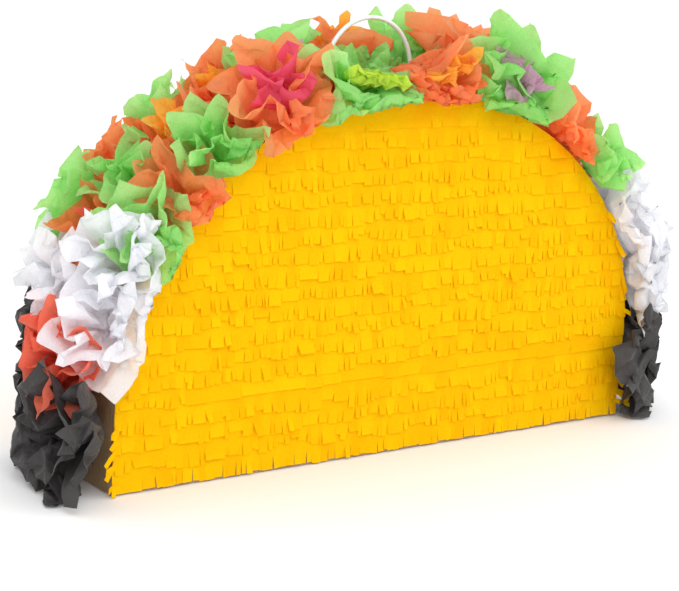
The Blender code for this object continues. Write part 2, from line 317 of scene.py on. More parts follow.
# A tab: the spread of its width round the usual one, the steps down its tongue, and the least size of its
# faces. TAB_BOW is in millimetres
TAB_SPREAD = (0.55, 1.5)
LEAST_TAB = 0.002
WIDE_TAB = 0.009
TAB_LEVELS = 6
TAB_BOW = (-0.25, 0.35)
LEAST_HEIGHT = 0.0002
LEAST_WIDTH = 0.0002
LEAST_DROP = 0.0001
MOST_TABS = 400

# A row of tabs: its slits, its hem, and how its tabs lift, slant and part. LEAST_CUT, EVEN_HEM and LEAST_HEAD
# are in metres, and the other lengths in millimetres
CUT_SHARE = 0.22
LEAST_CUT = 0.002
HEM_RISE = 0.8
HEM_RAGGED = 0.9
HEM_WAVES = ((1.1, 43, 900), (1.0, 131, 411))
UNCUT_HEM = 0.35
EVEN_HEM = {-1: (0.0004, 0.0014), 1: (0.0008, 0.0003)}
SHORT_TABS, SHORTER_BY = 0.14, (1.0, 4.0)
TAB_LIFT, UNCUT_LIFT = (0.15, 0.25), 0.4
LIFTED_TABS, LIFTED_BY = 0.04, (0.8, 3.0)
TAB_SLANT, UNCUT_SLANT = 0.5, 0.2
SLANT_WAVE = (0.5, 31, 500)
TAB_TWIST = 0.5
LEAST_HEAD = 0.001
SLIT_GAP, UNCUT_GAP, EVEN_GAP = (0.24, 0.18), 0.05, 0.12
OPEN_SLITS, OPENED_BY = 0.10, 0.5

# A loose strand
STRAND_UP, STRAND_IN = (0.003, 0.010), 0.002
STRAND_ANGLE = (0.2, 1.7)
STRAND_LENGTH = (0.006, 0.012)
STRAND_WIDTH = (0.0024, 0.0042)
STRAND_LIFT = (0.0, 0.005)
STRAND_STEPS = 5
STRAND_FOOT = 0.0012
STRAND_SAG = 0.15
STRAND_TWIST = 0.0006

# The front face's strips. FRONT_TABS and BACK_TABS hold tab widths and how often each comes
SEEN_ROWS = 20
TOP_ROWS, TOP_TAB, TOP_CUT = 2, 0.014, 0.005
PLAIN_ROW, PLAIN_LEFT, PLAIN_TAB, PLAIN_RISE = 5, -0.155, 0.022, 0.002
EDGE_ROW, EDGE_ZONE, EDGE_TAB = 13, 0.030, 0.0105
FRONT_TABS = ((0.0034, 0.0046, 0.0062, 0.0095), (0.30, 0.34, 0.23, 0.13))
STRAY_ROWS = (1, 2, 3, 4, 7, 9, 11, 13)
STRAY_PAIRS_BELOW = 5

# The back face's strips
BACK_TABS = ((0.0036, 0.0048, 0.0064, 0.0095), (0.30, 0.36, 0.22, 0.12))
ROW_OVERLAP = 0.005
FLAP_GAP = 0.0006
FLAP_INSET = 0.0004
CREASE_ROOM = 0.0027


def mesh_object(name, points, faces, look, tones_and_shade=None, smooth=True):
    """A mesh as one object, with a tone for each point, which picks between the lit and shaded colours as
    painted light and shade.
    """
    mesh = bpy.data.meshes.new(name)
    mesh.from_pydata([tuple(p) for p in points], [], [tuple(f) for f in faces])
    mesh.validate()
    mesh.update()
    if tones_and_shade is not None:
        attribute = mesh.attributes.new("tone", "FLOAT", "POINT")
        attribute.data.foreach_set("value", np.asarray(tones_and_shade, dtype=np.float32))
    mesh.polygons.foreach_set("use_smooth", [smooth] * len(mesh.polygons))
    mesh.materials.append(look)
    made = bpy.data.objects.new(name, mesh)
    bpy.context.scene.collection.objects.link(made)
    return made


def tab_edges(rng, left, right, width):
    """Places of the slits between left and right. width gives the usual tab width there."""
    edges = [left]
    while edges[-1] < right:
        usual = width(edges[-1])
        edges.append(edges[-1] + usual * rng.uniform(*TAB_SPREAD))
    edges[-1] = right
    if len(edges) > 2 and edges[-1] - edges[-2] < LEAST_TAB:
        edges.pop(-2)
    return edges


class Row:
    """The points and faces of one strip of fringe, gathered tab by tab."""

    def __init__(self, rng, side, face_y, reach):
        self.rng = rng
        self.side = side
        self.face_y = face_y
        self.reach = reach
        self.points = []
        self.tones_and_shade = []
        self.faces = []

    def add_tab(self, x0, x1, head, top, slit, bottom, lift, slant, twist, tone, gap):
        """One tab: an uncut head glued down from head to slit, then a tongue down to bottom."""
        columns = 3 if x1 - x0 < WIDE_TAB else 5
        start = len(self.points)
        bow = self.rng.uniform(*TAB_BOW) * MM
        left, right = self.reach(bottom)
        for c in range(columns):
            across = c / (columns - 1)
            inset = gap * (1 - 2 * across)
            line = x0 + (x1 - x0) * across
            roof = min(head, max(arch_height(min(max(line, left), right)), bottom + LEAST_HEIGHT))
            neck = min(slit, roof)
            levels = [roof, min(top, roof), neck]
            levels += [neck + (bottom - neck) * (k + 1) / TAB_LEVELS for k in range(TAB_LEVELS)]
            for k, z in enumerate(levels):
                down = max(0.0, (k - 2) / TAB_LEVELS)
                lean = max(0.0, (top - z) / (top - bottom))
                x = line + inset * down ** 1.3 + slant * down
                out = SKIN * (0.5 if k == 0 else 1.0) + ROW_LEAN * lean + lift * down ** 1.6
                out += twist * (across - 0.5) * down + bow * math.sin(math.pi * across) * down
                hem = (across - 0.5) * slant * 0.4 * down
                x = min(max(x, left), right)
                self.points.append((x, self.face_y + self.side * max(out, 0.5 * SKIN), z + hem))
                self.tones_and_shade.append(tone)
        self.add_faces(start, columns, TAB_LEVELS + 3)

    def add_faces(self, start, columns, count):
        """The tab's faces, leaving out those that the arch or a short strip has closed up."""
        for c in range(columns - 1):
            for k in range(count - 1):
                a = start + c * count + k
                quad = (a, a + count, a + count + 1, a + 1)
                upper = self.points[quad[1]][0] - self.points[quad[0]][0]
                lower = self.points[quad[2]][0] - self.points[quad[3]][0]
                left_drop = self.points[quad[0]][2] - self.points[quad[3]][2]
                right_drop = self.points[quad[1]][2] - self.points[quad[2]][2]
                if max(upper, lower) < LEAST_WIDTH or max(left_drop, right_drop) < LEAST_DROP:
                    continue
                self.faces.append(quad if self.side > 0 else quad[::-1])

    def add_strand(self, x, z, angle, length, width, lift):
        """A loose strand that stands away from the row's end."""
        start = len(self.points)
        along = Vector((math.sin(angle), 0, -math.cos(angle)))
        over = Vector((math.cos(angle), 0, math.sin(angle)))
        # Painted light: a strand's tone stays in the upper part of the range, towards the lit yellow.
        tone = self.rng.uniform(0.4, 1.0)
        for k in range(STRAND_STEPS + 1):
            t = k / STRAND_STEPS
            out = self.face_y + self.side * (STRAND_FOOT + lift * t * t)
            centre = Vector((x, out, z)) + along * length * t
            centre.z -= STRAND_SAG * length * t * t
            for edge in (-0.5, 0.5):
                spot = centre + over * width * edge
                self.points.append((spot.x, spot.y + STRAND_TWIST * edge, max(spot.z, FLOOR_ROOM)))
                self.tones_and_shade.append(tone)
        for k in range(STRAND_STEPS):
            a = start + 2 * k
            self.faces.append((a, a + 1, a + 3, a + 2))

    def area(self):
        """Area of the strip's faces."""
        total = 0.0
        for face in self.faces:
            a, b, c, d = (Vector(self.points[i]) for i in face)
            total += ((b - a).cross(c - a).length + (c - a).cross(d - a).length) / 2
        return total


def fringe_row(rng, side, low, high, head, wide, span=None, plain=None, cut=None, rise=0.0, even=False):
    """One strip of fringe from low to high, its uncut head reaching up to head. wide gives the usual tab
    width at a place, and span the strip's left and right limits. Where plain says so the tabs hardly part.
    cut is the slits' length, rise lifts the hem, and even keeps it straight."""
    face_y = FRONT_Y if side < 0 else BACK_Y

    def reach(z):
        half = float(half_width(z)) + FACE_OVERHANG
        left, right = span or (-half, half)
        return max(left, -half), min(right, half)

    row = Row(rng, side, face_y, reach)
    edges = tab_edges(rng, *reach(low), wide)
    ragged = rng.uniform(-1, 1, MOST_TABS)
    for i, (x0, x1) in enumerate(zip(edges, edges[1:])):
        middle = (x0 + x1) / 2
        uncut = plain and plain(middle)
        wander = HEM_RAGGED * ragged[i]
        for size, per_x, per_z in HEM_WAVES:
            wander += size * math.sin(middle * per_x + low * per_z)
        if rng.random() < SHORT_TABS:
            wander += rng.uniform(*SHORTER_BY)
        bottom = low + (HEM_RISE + wander * (UNCUT_HEM if uncut else 1.0)) * MM + rise
        if even:
            over, spread = EVEN_HEM[side]
            bottom = max(FLOOR_ROOM, low - over) + spread * abs(ragged[i])
        slit = high - CUT_SHARE * (high - low) if cut is None else bottom + cut
        bottom = min(bottom, slit - LEAST_CUT)
        lift = abs(rng.normal(*TAB_LIFT)) * MM
        if rng.random() < LIFTED_TABS:
            lift += rng.uniform(*LIFTED_BY) * MM
        size, per_x, per_z = SLANT_WAVE
        slant = (rng.normal(0, TAB_SLANT) + size * math.sin(middle * per_x + low * per_z)) * MM
        twist = rng.normal(0, TAB_TWIST) * MM
        # Painted light and shade: each tab takes a random place between the shaded and the lit yellow,
        # standing for tabs that catch more or less light.
        tone = rng.uniform(0, 1) * 0.8 + 0.2 * rng.random()
        gap = UNCUT_GAP
        if not uncut:
            gap = abs(rng.normal(*SLIT_GAP)) + (OPENED_BY if rng.random() < OPEN_SLITS else 0)
        row.add_tab(
            x0, x1, head, high, min(slit, high - LEAST_HEAD), bottom,
            lift * (UNCUT_LIFT if uncut else 1.0),
            UNCUT_SLANT * slant if uncut else slant,
            twist, tone, gap * (EVEN_GAP if even else 1.0) * MM,
        )
    return row


def finish_row(name, row, low, head, look, body, node):
    """The strip as an object on its body, its close points welded, in place of the frame's node. Its area,
    without its slits and the corners that the arch cuts off, is worked out against its own extent but not
    used."""
    made = mesh_object(name, row.points, row.faces, look, row.tones_and_shade)
    weld = made.modifiers.new("weld", "WELD")
    weld.merge_threshold = WELD
    xs = [p[0] for p in row.points]
    width = max(xs) - min(xs)
    height = head - low
    share = row.area() / (width * height)
    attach(made, body)
    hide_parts(node)


def row_seed(word, number):
    """A random generator of its own for each strip."""
    return np.random.default_rng([SEED, number, sum(map(ord, word))])


def usual_tab(rng, widths, shares):
    """One of these tab widths."""
    return rng.choice(widths, p=shares)


def front_strands(row, rng, number, low):
    """Loose strands at both ends of a front strip."""
    for sign in (-1, 1):
        for _ in range(2 if number < STRAY_PAIRS_BELOW else 1):
            z = low + rng.uniform(*STRAND_UP)
            edge_x = sign * (float(half_width(z)) - STRAND_IN)
            row.add_strand(
                edge_x, z, sign * rng.uniform(*STRAND_ANGLE), rng.uniform(*STRAND_LENGTH),
                rng.uniform(*STRAND_WIDTH), rng.uniform(*STRAND_LIFT),
            )


def front_fringe(look):
    """The front face's strips. They are closer together than the frame's rows, and each stands for the row
    at its height."""
    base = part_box("front_fringe_01")[0][2]
    pitch = (APEX - base) / SEEN_ROWS
    for number in range(1, SEEN_ROWS + 1):
        low = base + pitch * (number - 1)
        high = low + pitch
        node = f"front_fringe_{min(ROWS, int((low + pitch / 2 - base) / ROW_PITCH) + 1):02d}"
        rng = row_seed("front", number)
        top = number > SEEN_ROWS - TOP_ROWS

        def plain(x):
            return top or (number == PLAIN_ROW and x > PLAIN_LEFT)

        def wide(x):
            edge = float(half_width(low + pitch)) - abs(x)
            if top:
                return TOP_TAB
            if plain(x):
                return PLAIN_TAB
            if number >= EDGE_ROW and edge < EDGE_ZONE:
                return EDGE_TAB
            return usual_tab(rng, *FRONT_TABS)

        head = min(APEX, high + pitch)
        row = fringe_row(
            rng, -1, low, high, head, wide, plain=plain, cut=TOP_CUT if top else None,
            rise=PLAIN_RISE if number == PLAIN_ROW else 0.0, even=number == 1,
        )
        if number in STRAY_ROWS:
            front_strands(row, rng, number, low)
        finish_row(f"fringe_front_{number:02d}", row, low, head, look, "shell", node)


def back_fringe(look):
    """The back face's strips: below, beside and above the flap, and those on the flap itself."""
    flap_low, flap_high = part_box("fill_flap")
    side = flap_high[0] + FLAP_GAP
    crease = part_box("back_fringe_upper")[0][2]
    regions = (
        ("lower", "back_fringe_lower", None, "shell", "back_panel"),
        ("left", "back_fringe_left", (-HALF, -side), "shell", "back_panel"),
        ("right", "back_fringe_right", (side, HALF), "shell", "back_panel"),
        ("upper", "back_fringe_upper", None, "shell", "back_panel"),
        ("flap", "flap_fringe", (flap_low[0] + FLAP_INSET, flap_high[0] - FLAP_INSET), "flap", "fill_flap"),
    )
    for word, node, span, body, rests_on in regions:
        box_low, box_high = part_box(node)
        low, high = box_low[2], box_high[2]
        count = max(1, round((high - low) / ROW_PITCH))
        pitch = (high - low) / count
        for k in range(count):
            row_low = low + pitch * k
            row_high = min(high, row_low + pitch + ROW_OVERLAP)
            rng = row_seed(word, k)
            head = min(crease - CREASE_ROOM if word == "flap" else high, row_high + ROW_PITCH)
            row = fringe_row(
                rng, 1, row_low, row_high, head, lambda _: usual_tab(rng, *BACK_TABS), span, even=k == 0,
            )
            finish_row(f"fringe_{word}_{k + 1:02d}", row, row_low, head, look, body, node)


# ---------------------------------------------------------------- tissue flowers

# Lanes along the rim: how far each lies from the rim's middle, and how far forward its flowers lean
LANE_Y = {"front": -0.0290, "before_loop": -0.0145, "middle": 0.0, "behind_loop": 0.0140, "back": 0.0290}
LANE_LEAN = {"front": 36.0, "before_loop": 16.0, "middle": 3.0, "behind_loop": -12.0, "back": -28.0}
LANES = {
    "front": "38 black, 95 white, 130 white, 149 green, 176 orange, 210 green, 254 orange:pink,"
             " 313 green:lime, 361 orange:amber, 421 green:mauve, 478 orange, 518 green, 560 white,"
             " 605 white, 660 black",
    "before_loop": "300 orange, 386 orange",
    "behind_loop": "305 green, 383 green",
    "middle": "38 black, 76 coral, 110 white, 140 orange:coral, 172 green, 206 orange:amber,"
              " 241 orange:amber, 277 green:mauve, 340 green, 415 orange, 461 green, 507 orange,"
              " 554 white, 600 white, 646 black",
    "back": "25 black, 78 black, 118 white, 150 green, 186 orange, 222 green, 262 orange:coral,"
            " 305 green, 346 orange:amber, 392 green, 438 orange, 484 green, 531 orange, 577 white,"
            " 623 white, 669 black",
}
# Flowers that don't follow their lane's rule. SET_APART gives (y, lean, size)
UNDER_LOOP = ("middle", 9)
SET_APART = {("front", 1): (-0.0205, 10, 0.097), ("middle", 2): (-0.011, 15, 0.080)}
SMALLER, SMALLER_BY = (("front", 2), ("middle", 1), ("back", 1), ("back", 2), ("back", 3)), 0.82

PLACE_SPREAD = 0.003
Y_SPREAD = 0.002
LEAN_SPREAD = 7
SWAY_SPREAD = 9
FLARE = (52, 88)
TIGHTNESS = (12, 24)
USUAL_ROOM = 0.046
ROOM_SHARE = (0.9, 1.22)
NEAR_TOP, TOP_LEAN, TOP_SHIFT = 0.09, 12, 0.003
SQUARE, SQUARE_SPREAD = 0.070, (0.92, 1.05)
SMALL_SQUARE = 0.054
CRUMPLED = ("white", "black")
CRUMPLED_SIZE, CRUMPLED_FLARE = 1.2, 0.85
CRUMPLED_ROUGH, USUAL_ROUGH, INNER_ROUGH = 0.0032, 0.0025, 0.002
UNDER_SHARE = 0.97
INNER_SHARE = {"pink": 0.86, "lime": 0.86, "coral": 0.72, "mauve": 0.74, "amber": 0.84}
INNER_LIFT = 0.003
GLUE = 0.0015
TUFT_MIDDLE = 0.02
OTHER_COLOUR = 0.02

GRID = 13
GRID_JITTER = 0.32
RIM_STEPS = 600
FOOT_STEPS = 60
CONE_STEPS = 60
CONE_REACH = 0.72
CONE_BEND = 0.85
WARP, WARP_TURN = 0.22, 0.15
PLEAT_DEPTH = 0.8
PLEAT_LEAST = 0.12
ROUGH_FROM = 0.03


def rim_path():
    """Points, outward normals and distances along the rim's outer surface, left foot to right foot."""
    upright = np.linspace(0, SIDE_HEIGHT, FOOT_STEPS, endpoint=False)
    foot = np.full(FOOT_STEPS, 1.0)
    angle = np.linspace(math.pi, 0, RIM_STEPS)
    x = np.concatenate([-HALF * foot, HALF * np.cos(angle), HALF * foot])
    z = np.concatenate([upright, SIDE_HEIGHT + ARCH_HEIGHT * np.sin(angle), upright[::-1]])
    nx = np.concatenate([-foot, np.cos(angle) / HALF, foot])
    nz = np.concatenate([0 * foot, np.sin(angle) / ARCH_HEIGHT, 0 * foot])
    size = np.hypot(nx, nz)
    distance = np.concatenate([[0], np.cumsum(np.hypot(np.diff(x), np.diff(z)))])
    return x, z, nx / size, nz / size, distance


RIM = rim_path()


def rim_at(distance):
    """(place, normal, tangent) on the rim at y = 0, that far from the left foot."""
    x, z, nx, nz, along = RIM
    place = Vector((np.interp(distance, along, x), 0, np.interp(distance, along, z)))
    normal = Vector((np.interp(distance, along, nx), 0, np.interp(distance, along, nz))).normalized()
    tangent = Vector((normal.z, 0, -normal.x))
    return place, normal, tangent


def square_sheet(rng, size):
    """A flat square as (points, triangles), its inner points jittered and its diagonals turned at random."""
    steps = np.linspace(-0.5, 0.5, GRID)
    u, v = np.meshgrid(steps, steps, indexing="ij")
    cell = 1 / (GRID - 1)
    jitter = rng.uniform(-GRID_JITTER, GRID_JITTER, (2, GRID, GRID)) * cell
    u[1:-1, :] += jitter[0][1:-1, :]
    v[:, 1:-1] += jitter[1][:, 1:-1]
    points = np.stack([u.ravel(), v.ravel()], axis=1) * size
    triangles = []
    for i in range(GRID - 1):
        for j in range(GRID - 1):
            a, b = i * GRID + j, i * GRID + j + 1
            c, d = a + GRID, b + GRID
            if rng.random() < 0.5:
                triangles += [(a, c, b), (b, c, d)]
            else:
                triangles += [(a, c, d), (a, d, b)]
    return points, np.array(triangles)


def links_of(triangles):
    """The mesh's edges, and the pairs of points that face each other across an edge."""
    across = {}
    for a, b, c in triangles:
        for p, q, r in ((a, b, c), (b, c, a), (c, a, b)):
            across.setdefault((min(p, q), max(p, q)), []).append(r)
    edges = np.array(list(across))
    bends = np.array([pair for pair in across.values() if len(pair) == 2])
    return edges, bends


def gathered_cone(rng, flat, size, flare, tightness, pleats):
    """Where a pinched square starts: a pleated cone about +Z. It leaves its middle at the angle tightness
    and opens to the angle flare."""
    radius = np.hypot(flat[:, 0], flat[:, 1])
    angle = np.arctan2(flat[:, 1], flat[:, 0])
    reach = size * CONE_REACH
    grid = np.linspace(0, reach, CONE_STEPS)
    slope = np.radians(tightness + (flare - tightness) * (grid / reach) ** CONE_BEND)
    step = grid[1] - grid[0]
    out = np.concatenate([[0], np.cumsum(np.sin(slope[1:]) * step)])
    up = np.concatenate([[0], np.cumsum(np.cos(slope[1:]) * step)])
    rho = np.interp(radius, grid, out)
    high = np.interp(radius, grid, up)
    tilt = np.interp(radius, grid, slope)
    phase = 0.5 if pleats == 4 else rng.uniform(0, 1)
    warped = angle + WARP * np.sin(2 * angle + rng.uniform(0, 2 * math.pi))
    warped += rng.uniform(-WARP_TURN, WARP_TURN)
    wave = 2 * np.abs(((warped * pleats / (2 * math.pi) + phase) % 1) - 0.5) - 0.5
    spare = np.sqrt(np.maximum((math.pi * radius / pleats) ** 2 - (math.pi * rho / pleats) ** 2, 0))
    pleated = rho + wave * spare * np.cos(tilt) * PLEAT_DEPTH
    height = high - wave * spare * np.sin(tilt) * PLEAT_DEPTH
    pleated = np.maximum(pleated, PLEAT_LEAST * radius)
    return np.stack([pleated * np.cos(angle), pleated * np.sin(angle), height], axis=1)


class Flower:
    """One square of tissue: where it is gathered, and how."""

    def __init__(
        self, name, colour, distance, y, lean, sway, turn, node,
        size, flare, tightness, pleats, rough, lift=0.0,
    ):
        self.name = name
        self.colour = colour
        self.size = size
        self.node = node
        self.rough = rough
        rng = np.random.default_rng([SEED, sum(map(ord, name)), int(distance * 1e4)])
        self.flat, self.triangles = square_sheet(rng, size)
        self.edges, self.bends = links_of(self.triangles)
        cone = gathered_cone(rng, self.flat, size, flare, tightness, pleats)
        outward = np.clip(np.hypot(*self.flat.T) / ROUGH_FROM, 0, 1)
        cone += rng.normal(0, rough, cone.shape) * outward[:, None]
        place, normal, tangent = rim_at(distance)
        axis = normal.copy()
        axis.rotate(Matrix.Rotation(math.radians(lean), 3, tangent))
        axis.rotate(Matrix.Rotation(math.radians(sway), 3, Vector((0, 1, 0))))
        side = tangent.cross(axis).normalized()
        front = axis.cross(side).normalized()
        spin = math.radians(turn)
        first = front * math.cos(spin) + side * math.sin(spin)
        second = axis.cross(first)
        self.foot = np.array(place) + np.array([0, y, 0]) + np.array(normal) * (GLUE + lift)
        self.start = self.foot + cone @ np.array([first, second, axis])
        self.tone = rng.uniform(0.1, 0.9)


# How far the tissue may reach, and what it stays off
LIMIT_Y = 0.0610
LIMIT_LEFT = -0.2480
LIMIT_RIGHT = 0.2580
LIMIT_TOP = 0.2765
LIMIT_FLOOR = 0.0012
LEFT_REACH, LEFT_SLANT = -0.2465, 0.525
RIGHT_REACH, RIGHT_SLANT = 0.280, 1.0
END_SPREAD = 1.6
RIM_EDGE = 0.0385
FACE_CLEAR = 0.0425
RIM_CLEAR = 0.0016
HANG = 0.0005
LOOP_SWING = math.radians(22)
LOOP_HINGE_Z = 0.22208
LOOP_RISE = LOOP_TOP - CORD_R - LOOP_HINGE_Z
LOOP_ROOM = 0.006
LOOP_SIDE = 0.007
LOOP_FROM = 0.20
LOOP_KEEP = 0.0050
LOOP_OPEN = 0.020
LOOP_VIEW = 0.244
VIEW_LEFT, VIEW_RIGHT, VIEW_Y = -0.046, 0.022, -0.006

# The cloth
ROUNDS, QUICK_ROUNDS = 170, 60
PINCH = 0.0065
FACE_SPREAD = 0.009
FOLD_SHARE, FOLD_WEIGHT = 0.80, 1.6
EDGE_ROUNDS, EDGE_WEIGHT = 3, 2.2
CROWD_EVERY, CALM_ROUNDS = 7, 6
APART, CROWD_PUSH, CROWD_STEP = 0.0075, 0.35, 0.6

# The finished squares
SOFT_FOLD, HARD_FOLD = 18, 60
CRUMPLE_SCALE = 0.009
CRUMPLED_DEPTH, USUAL_DEPTH = 0.0024, 0.0018


def keep_in_bounds(points, depth, inset):
    """Keeps points within depth of the middle plane, off the floor, and inside the slanted end limits."""
    x, y, z = points.T
    points[:, 1] = np.clip(y, -depth, depth)
    left = np.maximum(LIMIT_LEFT, LEFT_REACH + LEFT_SLANT * y) + END_SPREAD * inset
    right = np.minimum(LIMIT_RIGHT, RIGHT_REACH + RIGHT_SLANT * y) - END_SPREAD * inset
    points[:, 0] = np.clip(x, left, right)
    points[:, 2] = np.clip(z, LIMIT_FLOOR, LIMIT_TOP)


def keep_off_shell(points, inset):
    """Keeps points off the rim and the faces, and lets little of the tissue hang below the arch."""
    x, y, z = points.T
    up = np.maximum(z - SIDE_HEIGHT, 0)
    level = np.hypot(x / HALF, up / ARCH_HEIGHT)
    gx, gz = x / HALF ** 2, up / ARCH_HEIGHT ** 2
    steep = np.maximum(np.hypot(gx, gz) / np.maximum(level, 1e-6), 1e-6)
    gap = (level - 1) / steep
    size = np.maximum(np.hypot(gx, gz), 1e-9)
    sunk = gap < RIM_CLEAR
    over_rim = sunk & (np.abs(y) < RIM_EDGE)
    over_face = sunk & (np.abs(y) >= RIM_EDGE) & (np.abs(y) < FACE_CLEAR)
    move = RIM_CLEAR - gap
    points[over_rim, 0] += (move * gx / size)[over_rim]
    points[over_rim, 2] += (move * gz / size)[over_rim]
    points[over_face, 1] = np.sign(y[over_face]) * FACE_CLEAR
    low = (gap < -HANG - inset) & (np.abs(y) >= RIM_EDGE) & (z > SIDE_HEIGHT)
    rise = -HANG - inset - gap
    points[low, 0] += (rise * gx / size)[low]
    points[low, 2] += (rise * gz / size)[low]


def keep_off_loop(points, inset):
    """Keeps points out of the loop's swing, and low in front of it so that it shows."""
    x, y, z = points.T
    across = np.clip((x - LOOP_X) / LOOP_HALF, -1, 1)
    cord = LOOP_RISE * (1 - across ** 2) ** (LOOP_SQUARENESS / 2)
    radius = np.hypot(y, z - LOOP_HINGE_Z)
    near = (np.abs(x - LOOP_X) < LOOP_HALF + LOOP_SIDE) & (z > LOOP_FROM) & (radius > cord - LOOP_ROOM)
    keep = LOOP_KEEP + np.maximum(z - LOOP_HINGE_Z, 0) * math.tan(LOOP_SWING)
    close = near & (np.abs(y) < keep)
    under = close & (cord > LOOP_OPEN) & (radius < cord)
    shrink = ((cord - LOOP_ROOM) / np.maximum(radius, 1e-6) - 1)[under, None]
    points[under] += (points[under] - np.array([0, 0, LOOP_HINGE_Z])) * np.array([0, 1, 1]) * shrink
    close &= ~under
    points[close, 1] = np.where(y[close] < 0, -keep[close], keep[close])
    beside = points[:, 0] - LOOP_X
    before = (beside > VIEW_LEFT) & (beside < VIEW_RIGHT) & (points[:, 1] < VIEW_Y)
    ceiling = LOOP_VIEW - inset
    points[before, 2] = np.minimum(points[before, 2], ceiling[before])


def crowd(points, owner):
    """Pushes points of different squares away from each other."""
    tree = KDTree(len(points))
    for i, point in enumerate(points):
        tree.insert(point, i)
    tree.balance()
    shift = np.zeros_like(points)
    for i, point in enumerate(points):
        for _, j, gap in tree.find_range(point, APART):
            if j > i and owner[i] != owner[j] and gap > 1e-7:
                push = (points[i] - points[j]) * (CROWD_PUSH * (APART - gap) / gap)
                shift[i] += push
                shift[j] -= push
    size = np.linalg.norm(shift, axis=1, keepdims=True)
    return points + shift * np.minimum(1, APART * CROWD_STEP / np.maximum(size, 1e-9))


def relax(flowers, rounds):
    """Position-based cloth: it keeps edges at their flat length, resists sharp folds, parts the squares."""
    starts = np.cumsum([0] + [len(f.flat) for f in flowers])
    points = np.concatenate([f.start for f in flowers])
    flat = np.concatenate([np.c_[f.flat, np.zeros(len(f.flat))] for f in flowers])
    owner = np.concatenate([np.full(len(f.flat), i) for i, f in enumerate(flowers)])
    edges = np.concatenate([f.edges + s for f, s in zip(flowers, starts)])
    bends = np.concatenate([f.bends + s for f, s in zip(flowers, starts)])
    rest = np.linalg.norm(flat[edges[:, 0]] - flat[edges[:, 1]], axis=1)
    bend_rest = np.linalg.norm(flat[bends[:, 0]] - flat[bends[:, 1]], axis=1)
    pinned = np.hypot(flat[:, 0], flat[:, 1]) < PINCH
    depth = LIMIT_Y - FACE_SPREAD * np.random.default_rng(SEED).random(len(points)) ** 1.5
    inset = LIMIT_Y - depth
    home = points[pinned].copy()
    count = len(points)
    share = np.bincount(edges.ravel(), minlength=count)[:, None]
    bend_share = np.bincount(bends.ravel(), minlength=count)[:, None]

    def pull(pairs, length, only_short, weight, divide):
        span = points[pairs[:, 1]] - points[pairs[:, 0]]
        size = np.maximum(np.linalg.norm(span, axis=1), 1e-9)
        error = size - length
        if only_short:
            error = np.minimum(error, 0)
        step = span * (0.5 * error / size)[:, None]
        total = np.zeros_like(points)
        for axis in range(3):
            total[:, axis] = np.bincount(pairs[:, 0], step[:, axis], count)
            total[:, axis] -= np.bincount(pairs[:, 1], step[:, axis], count)
        return total * weight / np.maximum(divide, 1)

    for turn in range(rounds):
        points = points + pull(bends, bend_rest * FOLD_SHARE, True, FOLD_WEIGHT, bend_share)
        for _ in range(EDGE_ROUNDS):
            points = points + pull(edges, rest, False, EDGE_WEIGHT, share)
        if turn % CROWD_EVERY == 0 and turn < rounds - CALM_ROUNDS:
            points = crowd(points, owner)
        keep_in_bounds(points, depth, inset)
        keep_off_shell(points, inset)
        keep_off_loop(points, inset)
        points[pinned] = home
    return [points[a:b] for a, b in zip(starts, starts[1:])]


def nearest_tuft(tufts, spot, colour):
    """The frame's tuft that a flower of this colour at this spot stands for."""
    def far(name):
        low, high = (Vector(corner) for corner in tufts[name])
        return ((low + high) / 2 - spot).length + (OTHER_COLOUR if colour not in name else 0)

    return min(tufts, key=far)


